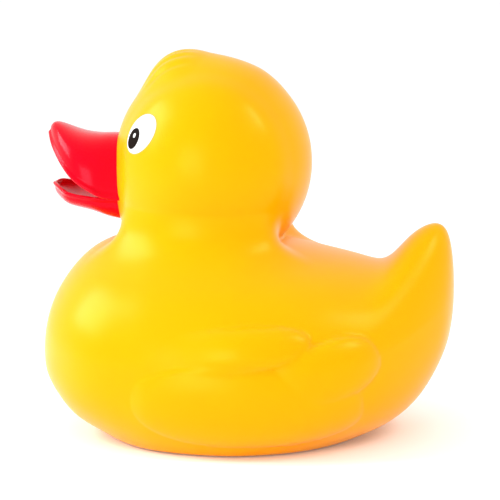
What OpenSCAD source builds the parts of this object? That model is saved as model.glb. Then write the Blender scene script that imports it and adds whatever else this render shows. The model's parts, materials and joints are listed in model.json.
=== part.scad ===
// Duck-shaped floating chlorine dispenser for swimming pools.
// A hollow vinyl duck is the float. A telescopic canister for two tablets slides in a sleeve in
// its base: pushed up for storage, as drawn here, and pulled down into the water for use.
// Millimetres. +Z is up, the duck faces -Y, and the origin is under the middle of the base.

/* [Float] */
// Length from the breast to the tail
duck_len = 210; // [190:1:230]
// Width of the body
duck_w = 158; // [150:1:175]
// Height to the top of the tuft
duck_h = 195; // [185:1:205]
// Vinyl wall thickness
wall = 2.5; // [2:0.25:4]

/* [Tablets] */
// Tablet diameter
tablet_d = 76; // [70:1:76]
// Tablet thickness
tablet_t = 25; // [20:0.5:25]

/* [Dosing] */
// Number of windows in the canister and in the dosing ring
windows = 8; // [6:1:10]
// Share of each window pitch that is open
window_share = 0.49; // [0.3:0.01:0.49]

/* [Cap thread] */
// Rise of the thread in one turn
pitch = 5; // [4.5:0.25:6]

/* [Hidden] */
$fn = 96;
eps = 0.01;

// Body: stations from breast to tail, as shares of the length, height and width
// [y, top, bottom, height of the widest line, half width, sharpness of the upper half]
body_stations = [
    [-0.500, 0.232, 0.212, 0.222, 0.00, 2.0],
    [-0.490, 0.313, 0.145, 0.222, 0.30, 2.0],
    [-0.460, 0.390, 0.103, 0.222, 0.54, 2.0],
    [-0.400, 0.467, 0.036, 0.220, 0.74, 2.0],
    [-0.310, 0.513, -0.012, 0.216, 0.89, 2.0],
    [-0.170, 0.533, -0.080, 0.212, 0.98, 2.05],
    [0.000, 0.523, -0.100, 0.210, 1.00, 2.1],
    [0.150, 0.492, -0.055, 0.216, 0.94, 2.1],
    [0.260, 0.468, -0.005, 0.231, 0.82, 2.0],
    [0.330, 0.462, 0.027, 0.252, 0.70, 1.8],
    [0.385, 0.516, 0.065, 0.277, 0.56, 1.45],
    [0.430, 0.552, 0.118, 0.308, 0.42, 1.3],
    [0.465, 0.556, 0.185, 0.334, 0.29, 1.3],
    [0.490, 0.510, 0.265, 0.360, 0.16, 1.5],
    [0.500, 0.395, 0.375, 0.385, 0.00, 2.0]
];
base_sharp = 2.6;
rings_per_span = 2;
ring_points = 40;
bill_points = 24;
bill_steps = 2;

// Head: an ellipsoid
head_rx = 0.295 * duck_w;
head_ry = 0.2405 * duck_len;
head_rz = 0.272 * duck_h;
head_y = -0.09 * duck_len;
head_z = 0.708 * duck_h;
head_radii = [head_rx, head_ry, head_rz];
tuft_y = head_y - 0.25 * head_ry;
tuft_r = 0.38 * head_ry;
jowl_y = head_y - 0.28 * head_ry;
jowl_z = head_z - 0.40 * head_rz;
jowl_r = 0.655 * head_ry;

// Bill: stations from the root to the tip, as shares of the length, height and width
// [y, top, bottom, half width]
upper_bill = [
    [-0.250, 0.779, 0.615, 0.115],
    [-0.333, 0.780, 0.619, 0.140],
    [-0.371, 0.779, 0.633, 0.150],
    [-0.410, 0.783, 0.654, 0.145],
    [-0.443, 0.793, 0.687, 0.120],
    [-0.468, 0.803, 0.720, 0.084],
    [-0.486, 0.806, 0.750, 0.047],
    [-0.497, 0.796, 0.776, 0.016]
];
lower_bill = [
    [-0.250, 0.636, 0.560, 0.100],
    [-0.333, 0.636, 0.572, 0.114],
    [-0.380, 0.646, 0.590, 0.119],
    [-0.430, 0.656, 0.602, 0.112],
    [-0.457, 0.658, 0.613, 0.088],
    [-0.479, 0.652, 0.628, 0.046],
    [-0.487, 0.645, 0.636, 0.012]
];

// Eyes: bearing from the centre of the head, half lengths of the ovals, and their lean
eye_turn = 41.7;
eye_lift = 20.7;
eye_long = 12;
eye_short = 9.1;
eye_lean = 39;
pupil_turn = 49;
pupil_lift = 17.3;
pupil_long = 6;
pupil_short = 3.3;
pupil_lean = 20;
paint_t = 0.5;
paint_gap = 0.1;

// Radii of the nested round parts, from the tablet outwards
tablet_r = tablet_d / 2;
neck_in = tablet_r + 0.7;
neck_out = neck_in + 1.5;
tube_in = tablet_r + 1.4;
tube_out = tube_in + 1.8;
ring_in = tube_out + 0.35;
ring_out = ring_in + 1.7;
bead_r = ring_out - 0.3;
skirt_in = neck_out + 1.5;
sleeve_in = ring_out + 0.7;
key_r = sleeve_in + 1.7;
groove_r = key_r + 0.5;
sleeve_out = sleeve_in + 3.4;
hole_r = sleeve_out + 0.5;
screw_pcd_r = sleeve_out + 3.7;
clamp_out = sleeve_out + 6.7;
flange_r = sleeve_out + 7.2;
recess_r = flange_r + 1;
tray_r = neck_in - 0.7;
dish_r = 30;

// Heights above the plane that the float stands on
recess_z = 7;
gasket_t = 1;
flange_z = 2.6;
flange_top = recess_z - gasket_t;
cap_z = flange_z;
cap_floor = cap_z + 2.4;
dish_z = cap_z + 7.4;
dish_top = dish_z + 2;
tray_z = dish_top + 0.3;
tray_top = tray_z + 2.4;
tablets_top = tray_top + 2 * tablet_t + 0.2;
neck_z = cap_floor + 0.6;
skirt_top = cap_floor + 14;
bead_z = skirt_top + 0.4;
bead_top = bead_z + 1.8;
head_plate_z = tablets_top + 1.3;
head_plate_t = 6;
head_spigot = 1;
tube_top = head_plate_z - 0.05;
dose_z = bead_top + 0.35;
dose_top = tube_top - 0.6;
window_z = dose_z + 4;
window_top = dose_top - 4;
key_h = 2.4;
sleeve_top = head_plate_z + head_plate_t + 3;
lid_t = 3;
travel = 52;
groove_z = head_plate_z - travel - 0.4;

// Keys, screws, rubber rings and small fittings
keys = 3;
key_angle = 14;
keyway_angle = 16;
screws = 6;
screw_r = 1.5;
screw_head_r = 2.8;
screw_head_h = 1.8;
clamp_t = 5;
ballast_t = 12;
ballast_z = recess_z + wall + clamp_t + 0.1;
screw_tip = ballast_z + 3;
cord_r = 0.95;
drag_r = sleeve_in - cord_r - 0.02;
drag_z = head_plate_z + 4;
lid_skirt_h = 9;
lid_skirt_in = sleeve_out - 0.4 + 2 * cord_r + 0.1;
lid_skirt_r = lid_skirt_in + 2.4;
seal_z = sleeve_top - 5;
bar_t = 7;
grip_count = 24;

// Thread of the cap: half heights of the ridge section at its root and at its crest
ridge_h = 1.1;
ridge_base = 1.0;
ridge_tip = 0.5;
ridge_turn = 330;
ridge_steps = 22;
neck_ridge_z = cap_floor + 2.2;
cap_ridge_z = neck_ridge_z + 1.75;

// ---- helpers -------------------------------------------------------------------------------

module ring(r_out, r_in, h, z = 0) {
    translate([0, 0, z])
        difference() {
            cylinder(r = r_out, h = h);
            translate([0, 0, -eps]) cylinder(r = r_in, h = h + 2 * eps);
        }
}

module around(count, r, start = 0) {
    for (i = [0 : count - 1])
        rotate([0, 0, start + i * 360 / count]) translate([r, 0, 0]) children();
}

// A cord of round section, bent to a ring
module o_ring(r, z) {
    translate([0, 0, z]) rotate_extrude() translate([r, 0]) circle(r = cord_r, $fn = 24);
}

// Openings cut through a round wall, each an arc of the given width
module wall_windows(r_in, r_out, z0, z1, turn) {
    for (i = [0 : windows - 1])
        rotate([0, 0, turn + i * 360 / windows])
            translate([0, 0, z0])
                rotate_extrude(angle = window_share * 360 / windows)
                    translate([r_in, 0]) square([r_out - r_in, z1 - z0]);
}

// Solid skin over rows of points: rows[i][j], closed along j, with a fan at each end
module skin(rows) {
    n = len(rows[0]);
    m = len(rows);
    points = [for (row = rows) for (p = row) p];
    sides = [for (i = [0 : m - 2]) for (j = [0 : n - 1]) for (half = [0, 1])
        let (a = i * n + j, b = i * n + (j + 1) % n, c = a + n, d = b + n)
            half == 0 ? [a, b, c] : [b, d, c]];
    low = [for (j = [n - 1 : -1 : 0]) j];
    high = [for (j = [0 : n - 1]) (m - 1) * n + j];
    polyhedron(points = points, faces = concat([low], sides, [high]), convexity = 8);
}

// Smooth curve through four neighbouring values (Catmull-Rom), t from 0 to 1
function smooth(a, b, c, d, t) =
    b + 0.5 * t * (c - a + t * (2 * a - 5 * b + 4 * c - d + t * (3 * (b - c) + d - a)));

function between(list, i, t) =
    smooth(list[max(i - 1, 0)], list[i], list[i + 1], list[min(i + 2, len(list) - 1)], t);

function power(v, n) = sign(v) * pow(abs(v), n);

// ---- the duck ------------------------------------------------------------------------------

// One cross-section of the body: a rounded outline, sharper towards the tail
function body_ring(s, inset, count) =
    let (
        y = s[0] * duck_len,
        top = s[1] * duck_h - inset,
        bottom = s[2] * duck_h + inset,
        mid = s[3] * duck_h,
        half = max(s[4] * duck_w / 2 - inset, 2)
    )
    [for (k = [0 : count - 1])
        let (
            a = k * 360 / count,
            sharp = sin(a) > 0 ? s[5] : base_sharp,
            reach = sin(a) > 0 ? top - mid : mid - bottom
        )
        [half * power(cos(a), 2 / max(sharp, 2)), y, mid + reach * power(sin(a), 2 / sharp)]];

module body() {
    last = len(body_stations) - 2;
    rows = [for (i = [0 : last]) for (t = [0 : 1 / rings_per_span : 1 - eps])
        body_ring(between(body_stations, i, t), 0, ring_points)];
    skin(concat(rows, [body_ring(body_stations[last + 1], 0, ring_points)]));
}

// The space inside the body, which stops short of the thin tip of the tail
module body_hollow() {
    last = len(body_stations) - 3;
    rows = [for (i = [1 : last]) body_ring(body_stations[i], wall, ring_points / 2)];
    scale([1, 1 - 2 * wall / duck_len, 1]) skin(rows);
}

module head_ball(grow = 0, count = 48) {
    translate([0, head_y, head_z])
        scale([for (r = head_radii) r + grow]) sphere(r = 1, $fn = count);
}

// The head with its tuft of feathers
module head() {
    head_ball(0, 40);
    hull() {
        translate([0, tuft_y, duck_h - tuft_r]) sphere(r = tuft_r, $fn = 24);
        translate([0, head_y + 0.2 * head_ry, head_z + 0.45 * head_rz])
            sphere(r = 0.5 * head_ry, $fn = 24);
    }
    translate([0, jowl_y, jowl_z]) sphere(r = jowl_r, $fn = 32);
}

// The step for the flange, the hole for the sleeve and the screw holes
module base_cuts() {
    web_top = recess_z + wall + 1;
    translate([0, 0, -1]) cylinder(r = recess_r, h = recess_z + 1, $fn = 64);
    translate([0, 0, -1]) cylinder(r = hole_r, h = web_top + 1, $fn = 64);
    around(screws, screw_pcd_r)
        translate([0, 0, -1]) cylinder(r = screw_r + 0.3, h = web_top + 1, $fn = 16);
}

module hollow() {
    difference() {
        union() {
            body_hollow();
            head_ball(-wall, 32);
        }
        translate([0, 0, wall - 50]) cube([2 * duck_w, 2 * duck_len, 100], center = true);
        cylinder(r = recess_r + wall, h = recess_z + wall, $fn = 64);
    }
}

module float_shell() {
    color("gold")
        resize([duck_w, 0, 0])
            difference() {
                union() {
                    body();
                    head();
                }
                translate([0, 0, -50]) cube([2 * duck_w, 2 * duck_len, 100], center = true);
                hollow();
                base_cuts();
            }
}

function bill_ring(s) =
    let (mid = (s[1] + s[2]) / 2 * duck_h, half = (s[1] - s[2]) / 2 * duck_h)
    [for (k = [0 : bill_points - 1])
        let (a = k * 360 / bill_points)
        [s[3] * duck_w * power(cos(a), 0.8), s[0] * duck_len, mid + half * power(sin(a), 0.9)]];

module bill_half(stations) {
    last = len(stations) - 1;
    rows = [for (i = [1 : last]) for (t = [0 : 1 / bill_steps : 1 - eps])
        bill_ring(between(stations, i - 1, t))];
    tip_first = concat([bill_ring(stations[last])], [for (i = [len(rows) - 1 : -1 : 0]) rows[i]]);
    skin(tip_first);
}

// The open bill, hollowed at the back to sit on the head
module bill() {
    color("crimson")
        resize([0, 0, 0])
            difference() {
                union() {
                    bill_half(upper_bill);
                    bill_half(lower_bill);
                }
                head_ball(paint_gap);
                translate([0, jowl_y, jowl_z]) sphere(r = jowl_r + paint_gap, $fn = 48);
                body();
            }
}

// An oval of paint on the head: a thin skin cut out by a straight oval bar
module oval(side, turn, lift, long, short, lean, from, to, count = 32) {
    aim = [head_rx * cos(lift) * cos(turn), -head_ry * cos(lift) * sin(turn), head_rz * sin(lift)];
    out = [aim[0] / pow(head_rx, 2), aim[1] / pow(head_ry, 2), aim[2] / pow(head_rz, 2)];
    bearing = atan2(out[1], out[0]);
    rise = asin(out[2] / norm(out));
    mirror([side < 0 ? 1 : 0, 0, 0])
        intersection() {
            difference() {
                head_ball(to, 96);
                head_ball(from, 96);
            }
            translate([0, head_y, head_z] + aim)
                rotate([0, 0, bearing]) rotate([0, -rise, 0]) rotate([-lean, 0, 0])
                    rotate([0, 90, 0])
                        scale([long, short, 1]) cylinder(r = 1, h = 16, center = true, $fn = count);
        }
}

module eye(side) {
    color("white")
        resize([0, 0, 0])
            oval(side, eye_turn, eye_lift, eye_long, eye_short, eye_lean,
                paint_gap, paint_gap + paint_t, 40);
}

module pupil(side) {
    color("black")
        resize([0, 0, 0])
            oval(side, pupil_turn, pupil_lift, pupil_long, pupil_short, pupil_lean,
                2 * paint_gap + paint_t, 2 * paint_gap + 2 * paint_t);
}

module eye_left() { eye(1); }
module eye_right() { eye(-1); }
module pupil_left() { pupil(1); }
module pupil_right() { pupil(-1); }

// ---- the sleeve in the base ----------------------------------------------------------------

// Tube with a flange, three inner keyways that end above the flange, and a seal groove
module guide_sleeve() {
    color("whitesmoke")
        difference() {
            union() {
                ring(sleeve_out, sleeve_in, sleeve_top - flange_z, flange_z);
                ring(flange_r, sleeve_in, flange_top - flange_z, flange_z);
            }
            for (i = [0 : keys - 1])
                rotate([0, 0, i * 360 / keys - keyway_angle / 2])
                    translate([0, 0, groove_z])
                        rotate_extrude(angle = keyway_angle)
                            translate([sleeve_in - 0.5, 0])
                                square([groove_r - sleeve_in + 0.5, sleeve_top - groove_z + 1]);
            around(screws, screw_pcd_r)
                translate([0, 0, flange_z - eps]) {
                    cylinder(r = screw_r + 0.2, h = 5, $fn = 24);
                    cylinder(r = screw_head_r + 0.3, h = screw_head_h + 0.2, $fn = 32);
                }
            translate([0, 0, seal_z - cord_r]) ring(sleeve_out + 1, sleeve_out - 0.4, 2 * cord_r);
        }
}

module base_gasket() {
    color("dimgray")
        difference() {
            ring(flange_r - 0.5, hole_r, gasket_t, flange_top);
            around(screws, screw_pcd_r)
                translate([0, 0, flange_top - 1]) cylinder(r = screw_r + 0.3, h = 3, $fn = 24);
        }
}

// Backing ring inside the float; the screws cut their thread in it
module clamp_ring() {
    color("lightgray")
        difference() {
            ring(clamp_out, hole_r, clamp_t, recess_z + wall);
            around(screws, screw_pcd_r)
                translate([0, 0, recess_z]) cylinder(r = screw_r, h = 20, $fn = 24);
        }
}

module clamp_screw() {
    difference() {
        union() {
            translate([0, 0, flange_z]) cylinder(r = screw_head_r, h = screw_head_h, $fn = 32);
            translate([0, 0, flange_z]) cylinder(r = screw_r, h = screw_tip - flange_z, $fn = 24);
        }
        for (turn = [0, 90])
            rotate([0, 0, turn])
                translate([0, 0, flange_z]) cube([3.2, 0.7, 2.2], center = true);
    }
}

module clamp_screws() {
    color("silver")
        around(screws, screw_pcd_r) clamp_screw();
}

// Weight low in the float that keeps the duck upright
module ballast_ring() {
    color("slategray")
        difference() {
            ring(clamp_out, hole_r, ballast_t, ballast_z);
            around(screws, screw_pcd_r)
                translate([0, 0, ballast_z - 1]) cylinder(r = screw_r + 0.7, h = 8, $fn = 24);
        }
}

// Closed cover over the top of the sleeve
module sleeve_lid() {
    color("whitesmoke") {
        translate([0, 0, sleeve_top]) cylinder(r = lid_skirt_r, h = lid_t);
        ring(lid_skirt_r, lid_skirt_in, lid_skirt_h + eps, sleeve_top - lid_skirt_h);
    }
}

module lid_seal() {
    color("black")
        o_ring(sleeve_out - 0.4 + cord_r, seal_z);
}

// ---- the canister --------------------------------------------------------------------------

// Tube with water windows, a bead that carries the dosing ring, and a threaded neck below
module canister_tube() {
    color("white") {
        difference() {
            ring(tube_out, tube_in, tube_top - bead_z, bead_z);
            wall_windows(tube_in - 1, tube_out + 1, window_z, window_top, 0);
        }
        ring(bead_r, neck_in, bead_top - bead_z, bead_z);
        ring(neck_out, neck_in, bead_z - neck_z + eps, neck_z);
        thread(neck_out - 0.3, neck_out + ridge_h, neck_ridge_z);
    }
}

// Closed top that slides in the sleeve, with three keys and a groove for the drag ring
module canister_head() {
    color("white")
        difference() {
            union() {
                translate([0, 0, head_plate_z])
                    cylinder(r = sleeve_in - 0.5, h = head_plate_t);
                ring(tube_in - 0.05, tube_in - 2.5, head_spigot, head_plate_z - head_spigot);
                for (i = [0 : keys - 1])
                    rotate([0, 0, i * 360 / keys - key_angle / 2])
                        translate([0, 0, head_plate_z])
                            rotate_extrude(angle = key_angle)
                                translate([sleeve_in - 2, 0]) square([key_r - sleeve_in + 2, key_h]);
            }
            translate([0, 0, head_plate_z + 2]) cylinder(r = sleeve_in - 6, h = head_plate_t);
            translate([0, 0, drag_z - cord_r]) ring(sleeve_in + 1, drag_r - cord_r, 2 * cord_r);
        }
}

module drag_ring() {
    color("black")
        o_ring(drag_r, drag_z);
}

// Turning ring whose windows uncover or close those of the tube
module dosing_ring() {
    color("deepskyblue")
        difference() {
            ring(ring_out, ring_in, dose_top - dose_z, dose_z);
            wall_windows(ring_in - 1, ring_out + 1, window_z, window_top, 0);
        }
}

// ---- the tablets and the cap ---------------------------------------------------------------

module tablet(z) {
    c = 2;
    color("ivory")
        translate([0, 0, z])
            rotate_extrude()
                polygon([[0, 0], [tablet_r - c, 0], [tablet_r, c], [tablet_r, tablet_t - c],
                    [tablet_r - c, tablet_t], [0, tablet_t]]);
}

module tablet_lower() { tablet(tray_top + 0.1); }
module tablet_upper() { tablet(tray_top + tablet_t + 0.2); }

// Grid under the tablets: two rims joined by spokes, so that water gets below
module tablet_tray() {
    color("lightsteelblue") {
        ring(tray_r, tray_r - 3, tray_top - tray_z, tray_z);
        ring(tray_r * 0.55, tray_r * 0.55 - 2.5, tray_top - tray_z, tray_z);
        translate([0, 0, tray_z]) cylinder(r = 5, h = tray_top - tray_z);
        for (i = [0 : 5])
            rotate([0, 0, i * 60])
                translate([4, -1.2, tray_z]) cube([tray_r - 5.5, 2.4, tray_top - tray_z]);
    }
}

// Screw cap: skirt with an inner thread, and a dish below crossed by a finger bar
module base_cap() {
    color("royalblue") {
        difference() {
            translate([0, 0, cap_z]) cylinder(r = ring_out, h = skirt_top - cap_z);
            translate([0, 0, cap_floor]) cylinder(r = skirt_in, h = 30);
            translate([0, 0, cap_z - 1]) cylinder(r = dish_r, h = 30);
            around(grip_count, ring_out + 0.4, 7.5)
                translate([0, 0, cap_z - 1]) cylinder(r = 1, h = 3.4, $fn = 16);
        }
        difference() {
            translate([0, 0, cap_z]) cylinder(r = dish_r + 2, h = dish_top - cap_z);
            translate([0, 0, cap_z - 1]) cylinder(r = dish_r, h = dish_z - cap_z + 1);
        }
        translate([-dish_r - 0.5, -bar_t / 2, cap_z]) cube([2 * dish_r + 1, bar_t, dish_z - cap_z + 1]);
        thread(skirt_in + 0.3, skirt_in - ridge_h, cap_ridge_z);
    }
}

// One turn of a ridge that climbs by the pitch, built from short level steps
module thread(r_root, r_crest, z0) {
    step = ridge_turn / ridge_steps;
    for (i = [0 : ridge_steps - 1])
        rotate([0, 0, i * step])
            translate([0, 0, z0 + pitch * i * step / 360])
                rotate_extrude(angle = step + 0.3)
                    polygon([[r_root, -ridge_base], [r_crest, -ridge_tip],
                        [r_crest, ridge_tip], [r_root, ridge_base]]);
}

float_shell();
bill();
eye_left();
eye_right();
pupil_left();
pupil_right();
guide_sleeve();
sleeve_lid();
lid_seal();
base_gasket();
clamp_ring();
clamp_screws();
ballast_ring();
canister_tube();
canister_head();
drag_ring();
dosing_ring();
tablet_tray();
tablet_lower();
tablet_upper();
base_cap();
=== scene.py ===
"""Looks of a duck-shaped floating chlorine dispenser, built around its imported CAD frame.

The duck's skin is a smooth level set made from the outline stations of the body, the head, the tuft
and the wings. The bill is a pair of lofted shells. The hardware in the base keeps the CAD shapes.
"""

import json
import math

import bpy
import numpy as np
import openvdb
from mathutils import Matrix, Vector
from mathutils.bvhtree import BVHTree


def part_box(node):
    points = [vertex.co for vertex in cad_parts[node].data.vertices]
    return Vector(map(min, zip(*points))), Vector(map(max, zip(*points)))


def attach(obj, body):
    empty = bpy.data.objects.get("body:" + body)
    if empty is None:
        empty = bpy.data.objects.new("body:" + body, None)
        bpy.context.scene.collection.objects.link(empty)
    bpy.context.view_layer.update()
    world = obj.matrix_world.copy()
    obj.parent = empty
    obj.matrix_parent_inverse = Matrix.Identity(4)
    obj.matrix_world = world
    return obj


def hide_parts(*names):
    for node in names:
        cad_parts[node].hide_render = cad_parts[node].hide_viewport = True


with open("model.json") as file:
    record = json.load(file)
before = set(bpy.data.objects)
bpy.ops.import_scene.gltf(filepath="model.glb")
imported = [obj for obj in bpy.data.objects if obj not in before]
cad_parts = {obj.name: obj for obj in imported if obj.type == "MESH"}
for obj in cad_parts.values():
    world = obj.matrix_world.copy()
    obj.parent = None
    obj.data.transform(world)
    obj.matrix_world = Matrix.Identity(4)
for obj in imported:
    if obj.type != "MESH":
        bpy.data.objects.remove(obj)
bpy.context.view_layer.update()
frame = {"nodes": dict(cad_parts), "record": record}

MM = 0.001

# The duck's main sizes, from the CAD frame
SHELL_LOW, SHELL_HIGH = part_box("float_shell")
LENGTH = SHELL_HIGH[1] - SHELL_LOW[1]
WIDTH = SHELL_HIGH[0] - SHELL_LOW[0]
HEIGHT = round(SHELL_HIGH[2], 3)
FLANGE_R = (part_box("guide_sleeve")[1][0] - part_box("guide_sleeve")[0][0]) / 2
RECESS_R = FLANGE_R + 1 * MM
RECESS_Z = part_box("base_gasket")[1][2]
WEB_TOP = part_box("clamp_ring")[0][2]
FLANGE_WIDTH = 6.7 * MM
HOLE_R = FLANGE_R - FLANGE_WIDTH
LID_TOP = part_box("sleeve_lid")[1][2]

# Grid steps of the two level sets
VOXEL = 1.0 * MM
BILL_VOXEL = VOXEL / 2

# Body outline from the breast to the tail, in shares of the length, height and half the width:
# y, top, bottom, height of the widest line, half width, sharpness of the upper half
BODY = [
    (-0.500, 0.222, 0.222, 0.222, 0.00, 2.00),
    (-0.490, 0.313, 0.145, 0.222, 0.30, 2.00),
    (-0.460, 0.390, 0.103, 0.222, 0.54, 2.00),
    (-0.400, 0.467, 0.036, 0.220, 0.74, 2.00),
    (-0.310, 0.513, -0.012, 0.216, 0.89, 2.00),
    (-0.170, 0.533, -0.080, 0.212, 0.98, 2.05),
    (0.000, 0.523, -0.100, 0.210, 1.00, 2.10),
    (0.150, 0.492, -0.055, 0.216, 0.94, 2.10),
    (0.260, 0.468, -0.005, 0.231, 0.82, 2.00),
    (0.330, 0.462, 0.027, 0.252, 0.70, 1.80),
    (0.385, 0.516, 0.065, 0.277, 0.56, 1.45),
    (0.430, 0.552, 0.118, 0.308, 0.42, 1.30),
    (0.465, 0.556, 0.185, 0.334, 0.29, 1.30),
    (0.490, 0.510, 0.265, 0.360, 0.16, 1.50),
    (0.500, 0.385, 0.385, 0.385, 0.00, 2.00),
]
BASE_SHARP = 2.6

# Head: centre and radii
HEAD_C = np.array([0.0, -0.090 * LENGTH, 0.708 * HEIGHT])
HEAD_R = np.array([0.295 * WIDTH, 0.2405 * LENGTH, 0.272 * HEIGHT])
JOWL_C = HEAD_C + HEAD_R * np.array([0.0, -0.28, -0.40])
JOWL_R = 0.655 * HEAD_R[1]
TUFT_R = 0.38 * HEAD_R[1]

# The open bill, from its root to the tip, in shares of the length, height and width:
# y, top, edge, half width
UPPER_BILL = [
    (-0.250, 0.779, 0.615, 0.115),
    (-0.333, 0.780, 0.621, 0.140),
    (-0.371, 0.779, 0.638, 0.150),
    (-0.410, 0.783, 0.664, 0.145),
    (-0.443, 0.793, 0.698, 0.120),
    (-0.468, 0.803, 0.730, 0.084),
    (-0.486, 0.806, 0.756, 0.047),
    (-0.497, 0.796, 0.778, 0.014),
]
LOWER_BILL = [
    (-0.250, 0.612, 0.545, 0.100),
    (-0.333, 0.612, 0.556, 0.114),
    (-0.380, 0.616, 0.573, 0.121),
    (-0.430, 0.624, 0.585, 0.116),
    (-0.457, 0.636, 0.597, 0.092),
    (-0.479, 0.645, 0.614, 0.050),
    (-0.487, 0.643, 0.628, 0.014),
]

# Painted marks of an eye, seen from the centre of the head: bearing and rise in degrees,
# half length and half width in millimetres, and lean in degrees
EYE = (38.2, 18.6, 12.0, 9.1, 39.0)
PUPIL = (43.0, 15.6, 6.0, 4.4, 20.0)
# The glint is a painted highlight: a white dot that stands in for a lamp's reflection in the pupil
PAINTED_HIGHLIGHT = (42.4, 17.2, 1.3, 1.0, 20.0)
RIM_WIDTH = 0.7

# Feather lobes of a wing, in millimetres on the side view:
# centre y, centre z, half length, half height, tilt in degrees, relief, share lost at the front
LOBES = [
    (4, 55, 38, 11, 5, 5.6, 0.85),
    (45, 41, 30, 16, 24, 5.4, 0.6),
    (10, 27, 56, 21, -1, 4.6, 0.0),
]
LOBE_POWER = 2.4
BELOW_SKIN = -2.0

# Grooves in the tuft: distances from the middle, half width and depth
GROOVES = (4 * MM, 10 * MM, 16 * MM)
GROOVE_WIDTH = 1.3 * MM
GROOVE_DEPTH = 1.0 * MM


# ---- curves and fields -----------------------------------------------------------------------


def spline(rows, count):
    """Natural cubic spline through the rows, sampled at count points."""
    rows = np.asarray(rows, float)
    n = len(rows)
    matrix = np.eye(n) * 4
    matrix += np.eye(n, k=1) + np.eye(n, k=-1)
    matrix[0, :] = 0
    matrix[-1, :] = 0
    matrix[0, 0] = 1
    matrix[-1, -1] = 1
    right = np.zeros_like(rows)
    right[1:-1] = 6 * (rows[:-2] - 2 * rows[1:-1] + rows[2:])
    bend = np.linalg.solve(matrix, right)
    t = np.linspace(0, n - 1, count)
    i = np.minimum(t.astype(int), n - 2)
    b = (t - i)[:, None]
    a = 1 - b
    return (
        a * rows[i]
        + b * rows[i + 1]
        + ((a**3 - a) * bend[i] + (b**3 - b) * bend[i + 1]) / 6
    )


def closed_spline(rows, count, margin=3):
    """Spline through stations whose sections shrink to a point at both ends, smooth over each end."""

    def beyond(row):
        y, top, bottom, mid, half, sharp = row
        return (y, bottom, top, mid, -half, sharp)

    first = [beyond(r) for r in rows[margin:0:-1]]
    last = [beyond(r) for r in rows[-2 : -2 - margin : -1]]
    full = first + list(rows) + last
    steps = count * (len(full) - 1) // (len(rows) - 1)
    fine = spline(full, steps * 4 + 1)
    t = np.linspace(0, len(full) - 1, steps * 4 + 1)
    keep = (t >= margin) & (t <= margin + len(rows) - 1)
    return fine[keep][::4]


def power(values, exponent):
    return np.sign(values) * np.abs(values) ** exponent


def smoothstep(low, high, values):
    t = np.clip((values - low) / (high - low), 0, 1)
    return t * t * (3 - 2 * t)


def smooth_min(a, b, k):
    h = np.maximum(k - np.abs(a - b), 0) / k
    return np.minimum(a, b) - h * h * k / 4


def smooth_max(a, b, k):
    return -smooth_min(-a, -b, k)


def loft_points(rings):
    """Points, quads and end fans of a tube lofted through rings of equal length."""
    rings = np.asarray(rings, np.float32)
    m, n, _ = rings.shape
    points = rings.reshape(-1, 3)
    quads = []
    for i in range(m - 1):
        for j in range(n):
            k = (j + 1) % n
            quads.append((i * n + j, i * n + k, (i + 1) * n + k, (i + 1) * n + j))
    ends = np.array([rings[0].mean(axis=0), rings[-1].mean(axis=0)], np.float32)
    points = np.vstack([points, ends])
    fans = []
    for j in range(n):
        k = (j + 1) % n
        fans.append((j, m * n, k))
        fans.append(((m - 1) * n + j, (m - 1) * n + k, m * n + 1))
    return points, np.array(quads, np.uint32), np.array(fans, np.uint32)


def body_rings(count, around):
    rings = []
    a = np.arange(around) * 2 * math.pi / around
    cos, sin = np.cos(a), np.sin(a)
    for y, top, bottom, mid, half, sharp in closed_spline(BODY, count):
        top, bottom, mid = top * HEIGHT, bottom * HEIGHT, mid * HEIGHT
        half = max(half, 0.002) * WIDTH / 2
        up = sin > 0
        p = np.where(up, sharp, BASE_SHARP)
        reach = np.where(up, top - mid, mid - bottom)
        x = half * power(cos, 2 / np.maximum(p, 2))
        z = mid + reach * power(sin, 2 / p)
        rings.append(np.stack([x, np.full_like(x, y * LENGTH), z], axis=1))
    return rings


class Field:
    """Signed distances on a regular grid that fills a box."""

    def __init__(self, low, high, voxel, band):
        self.voxel = voxel
        self.band = band
        margin = 6 * voxel
        self.start = np.floor((np.array(low) - margin) / voxel).astype(int)
        self.size = np.ceil((np.array(high) + margin) / voxel).astype(int) - self.start
        axes = [(self.start[i] + np.arange(self.size[i])) * voxel for i in range(3)]
        self.x = axes[0][:, None, None].astype(np.float32)
        self.y = axes[1][None, :, None].astype(np.float32)
        self.z = axes[2][None, None, :].astype(np.float32)

    def of_mesh(self, points, quads, triangles):
        grid = openvdb.FloatGrid.createLevelSetFromPolygons(
            points,
            triangles=triangles,
            quads=quads,
            transform=openvdb.createLinearTransform(voxelSize=self.voxel),
            halfWidth=self.band / self.voxel,
        )
        out = np.empty(tuple(self.size), np.float32)
        grid.copyToArray(out, ijk=tuple(int(v) for v in self.start))
        return out

    def to_mesh(self, values):
        reach = 3 * self.voxel
        grid = openvdb.FloatGrid(reach)
        grid.transform = openvdb.createLinearTransform(voxelSize=self.voxel)
        clipped = np.clip(values, -reach, reach).astype(np.float32)
        grid.copyFromArray(clipped, ijk=tuple(int(v) for v in self.start))
        points, triangles, quads = grid.convertToPolygons(isovalue=0.0, adaptivity=0.0)
        return points, triangles, quads


def ellipsoid(f, centre, radii):
    px = (f.x - centre[0]) / radii[0]
    py = (f.y - centre[1]) / radii[1]
    pz = (f.z - centre[2]) / radii[2]
    k0 = np.sqrt(px**2 + py**2 + pz**2)
    k1 = np.sqrt((px / radii[0]) ** 2 + (py / radii[1]) ** 2 + (pz / radii[2]) ** 2)
    return k0 * (k0 - 1) / np.maximum(k1, 1e-6)


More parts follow.
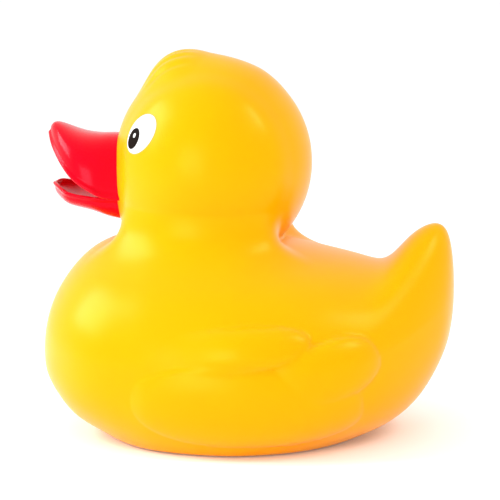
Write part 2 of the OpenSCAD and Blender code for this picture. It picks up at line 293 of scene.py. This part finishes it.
def capsule(f, a, b, r_a, r_b):
    """Distance to a rounded cone between two points."""
    a, b = np.asarray(a), np.asarray(b)
    axis = b - a
    along = (f.x - a[0]) * axis[0] + (f.y - a[1]) * axis[1] + (f.z - a[2]) * axis[2]
    t = np.clip(along / (axis @ axis), 0, 1)
    dx = f.x - a[0] - t * axis[0]
    dy = f.y - a[1] - t * axis[1]
    dz = f.z - a[2] - t * axis[2]
    return np.sqrt(dx**2 + dy**2 + dz**2) - (r_a + t * (r_b - r_a))


def wing_relief(f):
    """How far the wings stand out: feather lobes, merged at the front and creased at the back."""
    y, z = f.y / MM, f.z / MM
    back = smoothstep(0, 30, y)
    merge = 4.0 - 3.7 * back
    relief = np.full_like(y + z, BELOW_SKIN)
    for cy, cz, long, short, tilt, rise, fade in LOBES:
        c, s = math.cos(math.radians(tilt)), math.sin(math.radians(tilt))
        along = ((y - cy) * c + (z - cz) * s) / long
        across = (-(y - cy) * s + (z - cz) * c) / short
        r = (np.abs(along) ** LOBE_POWER + np.abs(across) ** LOBE_POWER) ** (1 / LOBE_POWER)
        height = rise * (1 - fade * smoothstep(0.2, -1.0, along))
        dome = height * np.sqrt(np.clip(1 - r**LOBE_POWER, 0, 1)) - 4 * np.maximum(r - 1, 0)
        relief = smooth_max(relief, np.maximum(dome, BELOW_SKIN), merge)
    relief = smooth_max(relief, np.zeros_like(relief), 1.6 - 1.3 * back)
    return relief * smoothstep(-54, -38, y) * MM


def tuft_field(f):
    """A low curl of feathers on the brow, with short grooves at its front."""
    front = (0, HEAD_C[1] - 0.27 * HEAD_R[1], HEIGHT - TUFT_R)
    back = (0, HEAD_C[1] + 0.16 * HEAD_R[1], HEAD_C[2] + 0.45 * HEAD_R[2])
    tuft = capsule(f, front, back, TUFT_R, 1.27 * TUFT_R)
    side = np.abs(f.x)
    brow = smoothstep(-24 * MM, -36 * MM, f.y) * smoothstep(170 * MM, 180 * MM, f.z)
    for out in GROOVES:
        line = (side - out) / GROOVE_WIDTH
        tuft = tuft + GROOVE_DEPTH * np.exp(-(line**2)) * brow
    return tuft


def duck_field():
    """The whole duck as one field: body, wings, head and tuft, less the recess in the base."""
    low = (SHELL_LOW[0], SHELL_LOW[1], -25 * MM)
    high = (SHELL_HIGH[0], SHELL_HIGH[1], HEIGHT)
    f = Field(low, high, VOXEL, 20 * MM)
    body = f.of_mesh(*loft_points(body_rings(260, 160)))
    side = smoothstep(25 * MM, 45 * MM, np.abs(f.x))
    body = body - wing_relief(f) * side
    head = ellipsoid(f, HEAD_C, HEAD_R)
    jowl = np.sqrt((f.x - JOWL_C[0]) ** 2 + (f.y - JOWL_C[1]) ** 2 + (f.z - JOWL_C[2]) ** 2) - JOWL_R
    head = smooth_min(head, jowl, 14 * MM)
    head = smooth_min(head, tuft_field(f), 9 * MM)
    neck = (2.0 + 30 * smoothstep(4 * MM, 34 * MM, np.abs(f.x))) * MM
    duck = smooth_min(body, head, neck)
    duck = smooth_max(duck, -f.z, 2.0 * MM)
    radius = np.sqrt(f.x**2 + f.y**2)
    recess = np.maximum(radius - RECESS_R, f.z - RECESS_Z)
    hole = np.maximum(radius - HOLE_R, f.z - WEB_TOP - 1 * MM)
    well = np.maximum(radius - RECESS_R, np.maximum(WEB_TOP - f.z, f.z - LID_TOP - 2 * MM))
    duck = smooth_max(duck, -recess, 1.5 * MM)
    duck = np.maximum(duck, -hole)
    duck = np.maximum(duck, -well)
    return f, duck


def new_mesh(name, points, faces):
    """A smooth-shaded mesh that rides on the float."""
    mesh = bpy.data.meshes.new(name)
    mesh.from_pydata([tuple(p) for p in points], [], [tuple(int(i) for i in f) for f in faces])
    mesh.update()
    obj = bpy.data.objects.new(name, mesh)
    bpy.context.scene.collection.objects.link(obj)
    mesh.polygons.foreach_set("use_smooth", [True] * len(mesh.polygons))
    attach(obj, "float")
    return obj


def relax(points, faces, rounds=4):
    """Taubin smoothing: evens the grid steps out without shrinking the surface."""
    edges = set()
    for face in faces:
        for i in range(len(face)):
            a, b = int(face[i]), int(face[(i + 1) % len(face)])
            edges.add((min(a, b), max(a, b)))
    edges = np.array(sorted(edges))
    count = np.bincount(edges.ravel(), minlength=len(points))[:, None]
    p = points.astype(float)
    for _ in range(rounds):
        for weight in (0.5, -0.52):
            total = np.zeros_like(p)
            np.add.at(total, edges[:, 0], p[edges[:, 1]])
            np.add.at(total, edges[:, 1], p[edges[:, 0]])
            p = p + weight * (total / np.maximum(count, 1) - p)
    return p


# ---- materials ---------------------------------------------------------------------------------


def new_material(name):
    material = bpy.data.materials.new(name)
    material.use_nodes = True
    nodes, links = material.node_tree.nodes, material.node_tree.links
    shader = nodes["Principled BSDF"]
    return material, nodes, links, shader


def add_noise(nodes, links, scale, detail=3.0):
    place = nodes.new("ShaderNodeTexCoord")
    noise = nodes.new("ShaderNodeTexNoise")
    noise.inputs["Scale"].default_value = scale
    noise.inputs["Detail"].default_value = detail
    links.new(place.outputs["Object"], noise.inputs["Vector"])
    return noise


def add_bump(nodes, links, shader, source, strength, distance):
    bump = nodes.new("ShaderNodeBump")
    bump.inputs["Strength"].default_value = strength
    bump.inputs["Distance"].default_value = distance
    links.new(source, bump.inputs["Height"])
    links.new(bump.outputs["Normal"], shader.inputs["Normal"])


def ramp(nodes, links, source, stops):
    node = nodes.new("ShaderNodeValToRGB")
    elements = node.color_ramp.elements
    while len(elements) < len(stops):
        elements.new(0.5)
    for element, (place, colour) in zip(elements, stops):
        element.position = place
        element.color = (*colour, 1)
    links.new(source, node.inputs["Fac"])
    return node.outputs["Color"]


def plain(name, colour, rough, metal=0.0, grain=900.0, bump=0.05, shade=0.88, shine=0.5):
    """A one-colour material with a slight unevenness of tone and surface."""
    material, nodes, links, shader = new_material(name)
    noise = add_noise(nodes, links, grain)
    dark = tuple(c * shade for c in colour)
    colours = ramp(nodes, links, noise.outputs["Fac"], [(0.3, dark), (0.7, colour)])
    links.new(colours, shader.inputs["Base Color"])
    shader.inputs["Roughness"].default_value = rough
    shader.inputs["Metallic"].default_value = metal
    shader.inputs["Specular IOR Level"].default_value = shine
    add_bump(nodes, links, shader, noise.outputs["Fac"], bump, 0.2 * MM)
    return material


def yellow_vinyl():
    """Soft satin vinyl with painted shade: its colour is a little darker near the base."""
    material, nodes, links, shader = new_material("yellow_vinyl")
    place = nodes.new("ShaderNodeTexCoord")
    split = nodes.new("ShaderNodeSeparateXYZ")
    links.new(place.outputs["Object"], split.inputs["Vector"])
    # Painted shade: a height ramp that darkens the yellow towards the bottom of the body
    height = nodes.new("ShaderNodeMapRange")
    height.inputs["From Min"].default_value = 0.0
    height.inputs["From Max"].default_value = 60 * MM
    links.new(split.outputs["Z"], height.inputs["Value"])
    colours = ramp(
        nodes, links, height.outputs["Result"], [(0.0, (0.88, 0.335, 0.0)), (1.0, (0.88, 0.36, 0.0))]
    )
    links.new(colours, shader.inputs["Base Color"])
    noise = add_noise(nodes, links, 1500.0, 2.0)
    roughness = nodes.new("ShaderNodeMapRange")
    roughness.inputs["To Min"].default_value = 0.26
    roughness.inputs["To Max"].default_value = 0.32
    links.new(noise.outputs["Fac"], roughness.inputs["Value"])
    links.new(roughness.outputs["Result"], shader.inputs["Roughness"])
    shader.inputs["Subsurface Weight"].default_value = 0.25
    shader.inputs["Subsurface Radius"].default_value = (1.0, 0.55, 0.1)
    shader.inputs["Subsurface Scale"].default_value = 6 * MM
    shader.inputs["Specular IOR Level"].default_value = 0.3
    shader.inputs["Specular Tint"].default_value = (1.0, 0.72, 0.14, 1)
    add_bump(nodes, links, shader, noise.outputs["Fac"], 0.04, 0.2 * MM)
    return material


def red_gloss():
    """Glossy red paint of the bill."""
    material, nodes, links, shader = new_material("red_gloss")
    noise = add_noise(nodes, links, 260.0, 2.0)
    colours = ramp(
        nodes, links, noise.outputs["Fac"], [(0.3, (0.58, 0.0, 0.008)), (0.7, (0.64, 0.0, 0.010))]
    )
    links.new(colours, shader.inputs["Base Color"])
    shader.inputs["Roughness"].default_value = 0.2
    shader.inputs["Specular IOR Level"].default_value = 0.4
    shader.inputs["Specular Tint"].default_value = (1.0, 0.16, 0.24, 1)
    add_bump(nodes, links, shader, noise.outputs["Fac"], 0.03, 0.3 * MM)
    return material


AMBER = plain("amber_line", (0.90, 0.34, 0.0), 0.4, bump=0.02)
MATERIALS = {
    "yellow_vinyl": yellow_vinyl(),
    "red_paint": red_gloss(),
    "white_paint": plain("white_paint", (0.80, 0.80, 0.79), 0.45, bump=0.02, shade=0.97, shine=0.1),
    "black_paint": plain("black_paint", (0.010, 0.006, 0.004), 0.5, bump=0.02, shine=0.03),
    "white_plastic": plain("white_plastic", (0.83, 0.83, 0.80), 0.42, shade=0.95),
    "grey_plastic": plain("grey_plastic", (0.28, 0.29, 0.31), 0.5),
    "blue_plastic": plain("blue_plastic", (0.02, 0.12, 0.42), 0.4, shade=0.9),
    "black_rubber": plain("black_rubber", (0.02, 0.02, 0.02), 0.7),
    "stainless": plain("stainless", (0.62, 0.62, 0.61), 0.3, metal=1.0, grain=2500.0),
    "ballast": plain("ballast", (0.12, 0.13, 0.15), 0.6, metal=0.4),
    "chlorine_tablet": plain("chlorine_tablet", (0.86, 0.87, 0.84), 0.9, grain=2200.0, bump=0.3),
}


def paint(obj, slot):
    obj.data.materials.clear()
    obj.data.materials.append(MATERIALS[slot])


# ---- the duck ----------------------------------------------------------------------------------


def build_skin():
    f, values = duck_field()
    points, triangles, quads = f.to_mesh(values)
    faces = [tuple(t) for t in triangles] + [tuple(q) for q in quads]
    points = relax(points, faces)
    faces = [face[::-1] for face in faces]
    skin = new_mesh("duck_skin", points, faces)
    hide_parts("float_shell")
    paint(skin, "yellow_vinyl")
    return skin


def bill_rings(stations, upper, hollow):
    """D-shaped sections: a dome on one side of the edge, and a shallow hollow on the other."""
    top_a = np.linspace(0, math.pi, 40)
    across = np.linspace(-1, 1, 26)[1:-1]
    sign = 1 if upper else -1
    rings = []
    for y, top, bottom, half in spline(stations, 90):
        edge, crown = (bottom, top) if upper else (top, bottom)
        edge, crown, half = edge * HEIGHT, crown * HEIGHT, max(half, 0.01) * WIDTH
        depth = min(hollow, 0.5 * abs(crown - edge))
        dome_x = half * power(np.cos(top_a), 0.85)
        dome_z = edge + (crown - edge) * power(np.sin(top_a), 0.72)
        floor_z = edge + sign * depth * (1 - across**2)
        x = np.concatenate([dome_x, across * half])
        z = np.concatenate([dome_z, floor_z])
        ring = np.stack([x, np.full_like(x, y * LENGTH), z], axis=1)
        rings.append(ring if upper else ring[::-1])
    return rings[::-1]


def edge_bead(f, stations, column, radius):
    """A round bead along the edge of a bill half: distance to a chain of short segments."""
    rows = spline(stations, 46)
    line = np.stack([rows[:, 3] * WIDTH, rows[:, 0] * LENGTH, rows[:, column] * HEIGHT], axis=1)
    line = np.vstack([line, [0, line[-1, 1] - 0.4 * MM, line[-1, 2]]])
    best = np.full(tuple(f.size), 1.0, np.float32)
    side = np.abs(f.x)
    for a, b in zip(line[:-1], line[1:]):
        axis = b - a
        t = ((side - a[0]) * axis[0] + (f.y - a[1]) * axis[1] + (f.z - a[2]) * axis[2]) / (axis @ axis)
        t = np.clip(t, 0, 1)
        gap = (side - a[0] - t * axis[0]) ** 2 + (f.y - a[1] - t * axis[1]) ** 2
        gap = gap + (f.z - a[2] - t * axis[2]) ** 2
        best = np.minimum(best, gap)
    return np.sqrt(best) - radius


def build_bill():
    """Both halves of the open bill, joined at the root and cut away inside the head."""
    low = (-0.17 * WIDTH, -0.505 * LENGTH, 0.53 * HEIGHT)
    high = (0.17 * WIDTH, -0.24 * LENGTH, 0.83 * HEIGHT)
    f = Field(low, high, BILL_VOXEL, 6 * MM)
    upper = f.of_mesh(*loft_points(bill_rings(UPPER_BILL, True, 6 * MM)))
    upper = smooth_min(upper, edge_bead(f, UPPER_BILL, 2, 1.1 * MM), 1.2 * MM)
    lower = f.of_mesh(*loft_points(bill_rings(LOWER_BILL, False, 5 * MM)))
    lower = smooth_min(lower, edge_bead(f, LOWER_BILL, 1, 0.9 * MM), 1.2 * MM)
    values = smooth_min(upper, lower, 1.0 * MM)
    inner = ellipsoid(f, HEAD_C, HEAD_R - 2 * MM)
    values = np.maximum(values, -inner)
    points, triangles, quads = f.to_mesh(values)
    faces = [tuple(t) for t in triangles] + [tuple(q) for q in quads]
    points = relax(points, faces, 6)
    bill = new_mesh("bill_red", points, [face[::-1] for face in faces])
    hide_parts("bill")
    paint(bill, "red_paint")


def head_oval(tree, side, mark, lift_mm, rings=14, around=72):
    """A thin lens of paint laid on the skin, its rim sunk just under the surface."""
    turn, rise, long, short, lean = mark
    turn, rise, lean = (math.radians(v) for v in (turn, rise, lean))
    unit = np.array([math.cos(rise) * math.cos(turn), -math.cos(rise) * math.sin(turn), math.sin(rise)])
    normal = unit / HEAD_R
    normal /= np.linalg.norm(normal)
    back = np.cross((0, 0, 1), normal)
    back /= np.linalg.norm(back)
    up = np.cross(normal, back)
    along = math.sin(lean) * back + math.cos(lean) * up
    across = math.cos(lean) * back - math.sin(lean) * up
    centre = HEAD_C + unit * HEAD_R
    mirror = np.array([side, 1, 1])
    points = []
    for i in range(rings + 1):
        r = i / rings
        for k in range(around):
            a = 2 * math.pi * k / around
            p = centre + (along * long * math.cos(a) + across * short * math.sin(a)) * r * MM
            start = (p + normal * 20 * MM) * mirror
            hit = tree.ray_cast(Vector(start), Vector(-normal * mirror))[0]
            out = lift_mm * (1 - 0.25 * r**2) if i < rings else -0.5
            points.append(np.array(hit) + normal * mirror * out * MM)
    faces = []
    for i in range(rings):
        for k in range(around):
            j = (k + 1) % around
            a, b = i * around, (i + 1) * around
            faces.append((a + k, b + k, b + j, a + j) if i else (k, b + k, b + j))
    if side * (np.cross(along, across) @ normal) < 0:
        faces = [face[::-1] for face in faces]
    return points, faces


def build_eyes(skin):
    """Each eye is a stack of thin paint layers: amber rim, white, black pupil and a painted highlight,
    a white dot that stands in for a lamp's reflection.
    """
    corners = [v.co for v in skin.data.vertices]
    tree = BVHTree.FromPolygons(corners, [p.vertices for p in skin.data.polygons])
    for side, word in ((1, "left"), (-1, "right")):
        turn, rise, long, short, lean = EYE
        rim = (turn, rise, long + RIM_WIDTH, short + RIM_WIDTH, lean)
        layers = [
            ("eye_rim", rim, 0.08, "amber", None),
            ("eye_white", EYE, 0.22, "white_paint", "eye"),
            ("eye_black", PUPIL, 0.36, "black_paint", "pupil"),
            # Painted highlight: the white glint dot stands in for a lamp's reflection
            ("eye_painted_highlight", PAINTED_HIGHLIGHT, 0.46, "white_paint", None),
        ]
        for name, mark, lift, slot_name, stands_for in layers:
            points, faces = head_oval(tree, side, mark, lift)
            obj = new_mesh(name + "_" + word, points, faces)
            if stands_for:
                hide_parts(stands_for + "_" + word)
            if slot_name == "amber":
                obj.data.materials.append(AMBER)
            else:
                paint(obj, slot_name)


skin = build_skin()
build_bill()
build_eyes(skin)
REBUILT = {"float_shell", "bill", "eye_left", "eye_right", "pupil_left", "pupil_right"}
for subpart in frame["record"]["subparts"]:
    if subpart["node"] not in REBUILT:
        paint(frame["nodes"][subpart["node"]], subpart["material_slot"])


# ---- studio ------------------------------------------------------------------------------------

LIGHT_AIM = (0, 0, 0.09)
CAMERA_AIM_Z = 92.5 * MM
CAMERA_AZIMUTH = 100
CAMERA_ELEVATION = 9
CAMERA_DISTANCE = 1.103
CAMERA_LENS_MM = 154.4


def studio_floor():
    """A wide, pale, matt floor just under the duck."""
    bpy.ops.mesh.primitive_plane_add(size=40, location=(0, 0, -0.5 * MM))
    floor = bpy.context.object
    floor.name = "studio_floor"
    material, nodes, links, shader = new_material("studio_floor")
    noise = add_noise(nodes, links, 40.0)
    colours = ramp(
        nodes, links, noise.outputs["Fac"], [(0.0, (0.95, 0.95, 0.95)), (1.0, (0.98, 0.98, 0.98))]
    )
    links.new(colours, shader.inputs["Base Color"])
    shader.inputs["Roughness"].default_value = 0.9
    shader.inputs["Emission Color"].default_value = (1, 1, 1, 1)
    shader.inputs["Emission Strength"].default_value = 0.07
    floor.data.materials.append(material)


def area_light(name, place, wide, tall, power_w):
    """A white soft box aimed at the middle of the duck."""
    data = bpy.data.lights.new(name, "AREA")
    data.shape = "RECTANGLE"
    data.size = wide
    data.size_y = tall
    data.energy = power_w
    obj = bpy.data.objects.new(name, data)
    bpy.context.scene.collection.objects.link(obj)
    obj.location = place
    aim = Vector(LIGHT_AIM) - Vector(place)
    obj.rotation_euler = aim.to_track_quat("-Z", "Y").to_euler()


def studio_camera():
    """A long lens on the duck's left, slightly behind its middle and a little above it."""
    centre = Vector((0, 0, CAMERA_AIM_Z))
    azimuth, elevation = math.radians(CAMERA_AZIMUTH), math.radians(CAMERA_ELEVATION)
    back = Vector(
        (
            math.sin(azimuth) * math.cos(elevation),
            -math.cos(azimuth) * math.cos(elevation),
            math.sin(elevation),
        )
    )
    data = bpy.data.cameras.new("camera")
    data.lens = CAMERA_LENS_MM
    camera = bpy.data.objects.new("camera", data)
    bpy.context.scene.collection.objects.link(camera)
    camera.location = centre + back * CAMERA_DISTANCE
    camera.rotation_euler = (-back).to_track_quat("-Z", "Y").to_euler()
    bpy.context.scene.camera = camera


def studio_world():
    world = bpy.data.worlds.new("studio")
    world.use_nodes = True
    background = world.node_tree.nodes["Background"]
    background.inputs["Color"].default_value = (1, 1, 1, 1)
    background.inputs["Strength"].default_value = 1.0
    bpy.context.scene.world = world


studio_floor()
studio_world()
studio_camera()
area_light("front_box", (0.22, -0.80, 0.58), 0.5, 0.5, 7.5)
area_light("rear_box", (0.25, 0.75, 0.85), 0.12, 0.4, 3.0)
area_light("side_box", (1.0, -0.30, 0.20), 0.4, 0.4, 3.0)
bpy.context.scene.view_settings.view_transform = "Standard"
